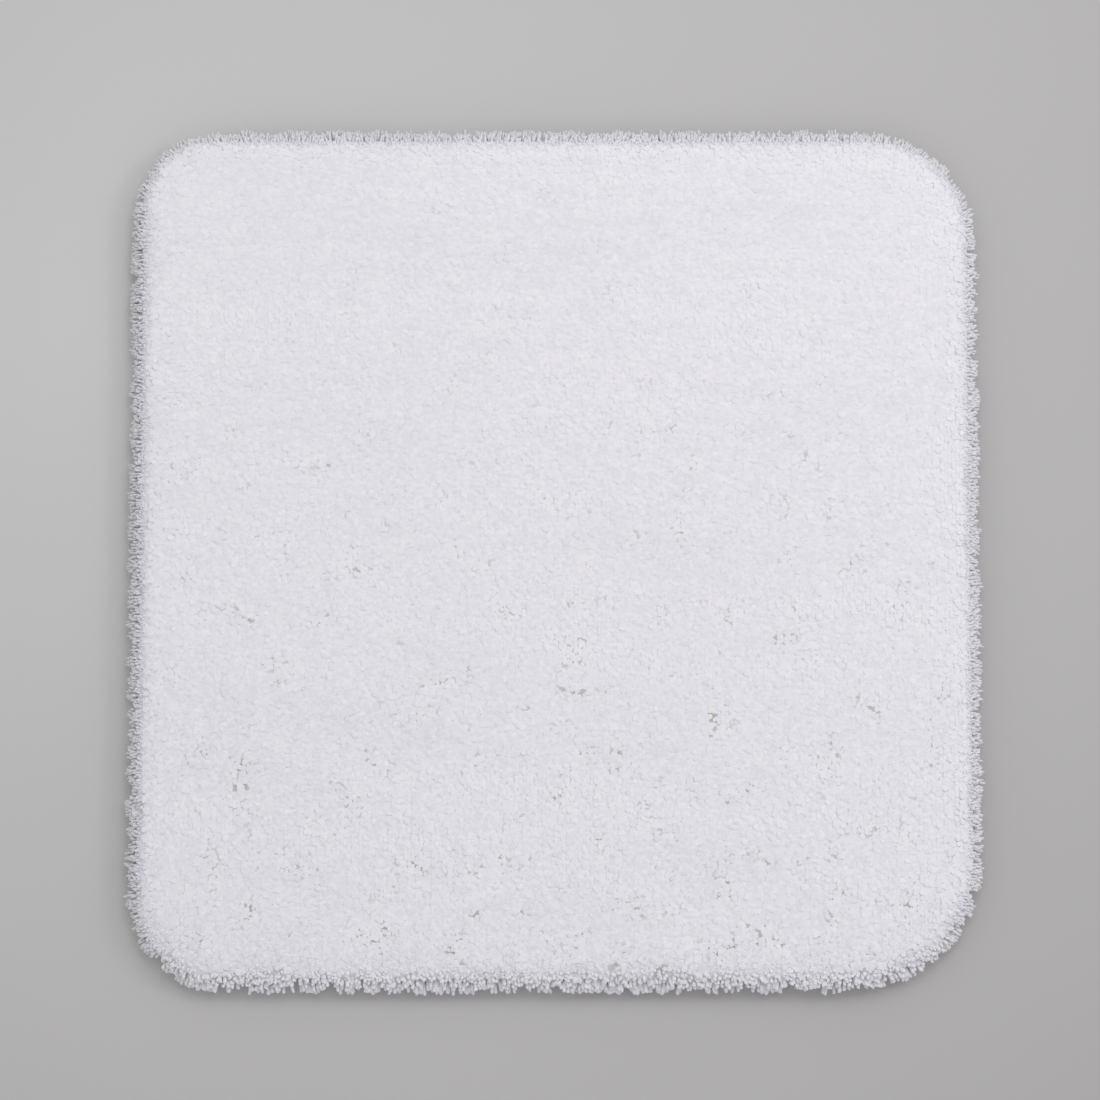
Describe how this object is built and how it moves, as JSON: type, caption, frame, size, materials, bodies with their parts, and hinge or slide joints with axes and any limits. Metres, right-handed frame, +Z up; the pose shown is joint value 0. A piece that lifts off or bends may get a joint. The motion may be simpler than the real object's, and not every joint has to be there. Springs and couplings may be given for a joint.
{
  "type": "bath mat",
  "caption": "Square tufted bath mat with rounded corners, dense white cut pile over a woven backing, an overlocked edge and a moulded anti-slip underside.",
  "frame": {"origin": "middle of the mat's underside, on the surface that the grip pads rest on", "axes": "+Z up through the pile, +Y to the back edge (the top of the picture), +X to the right edge"},
  "size_m": [0.562, 0.568, 0.0227],
  "materials": {
    "pile_yarn": "matt brushed microfibre yarn, cool white",
    "backing_cloth": "plain woven cloth, off-white",
    "locking_latex": "dried latex coat, cream",
    "grip_rubber": "soft moulded rubber, satin, pale grey",
    "seam_thread": "textured overlock thread, white",
    "label_ribbon": "blank satin ribbon, white"
  },
  "bodies": {
    "root": {"pile_field": "pile_yarn", "pile_edge_tufts": "pile_yarn", "primary_backing_cloth": "backing_cloth", "latex_precoat": "locking_latex", "anti_slip_backing": "grip_rubber", "overlock_upper_looper_thread": "seam_thread", "overlock_lower_looper_thread": "seam_thread", "overlock_needle_thread": "seam_thread", "care_label": "label_ribbon"}
  },
  "joints": []
}
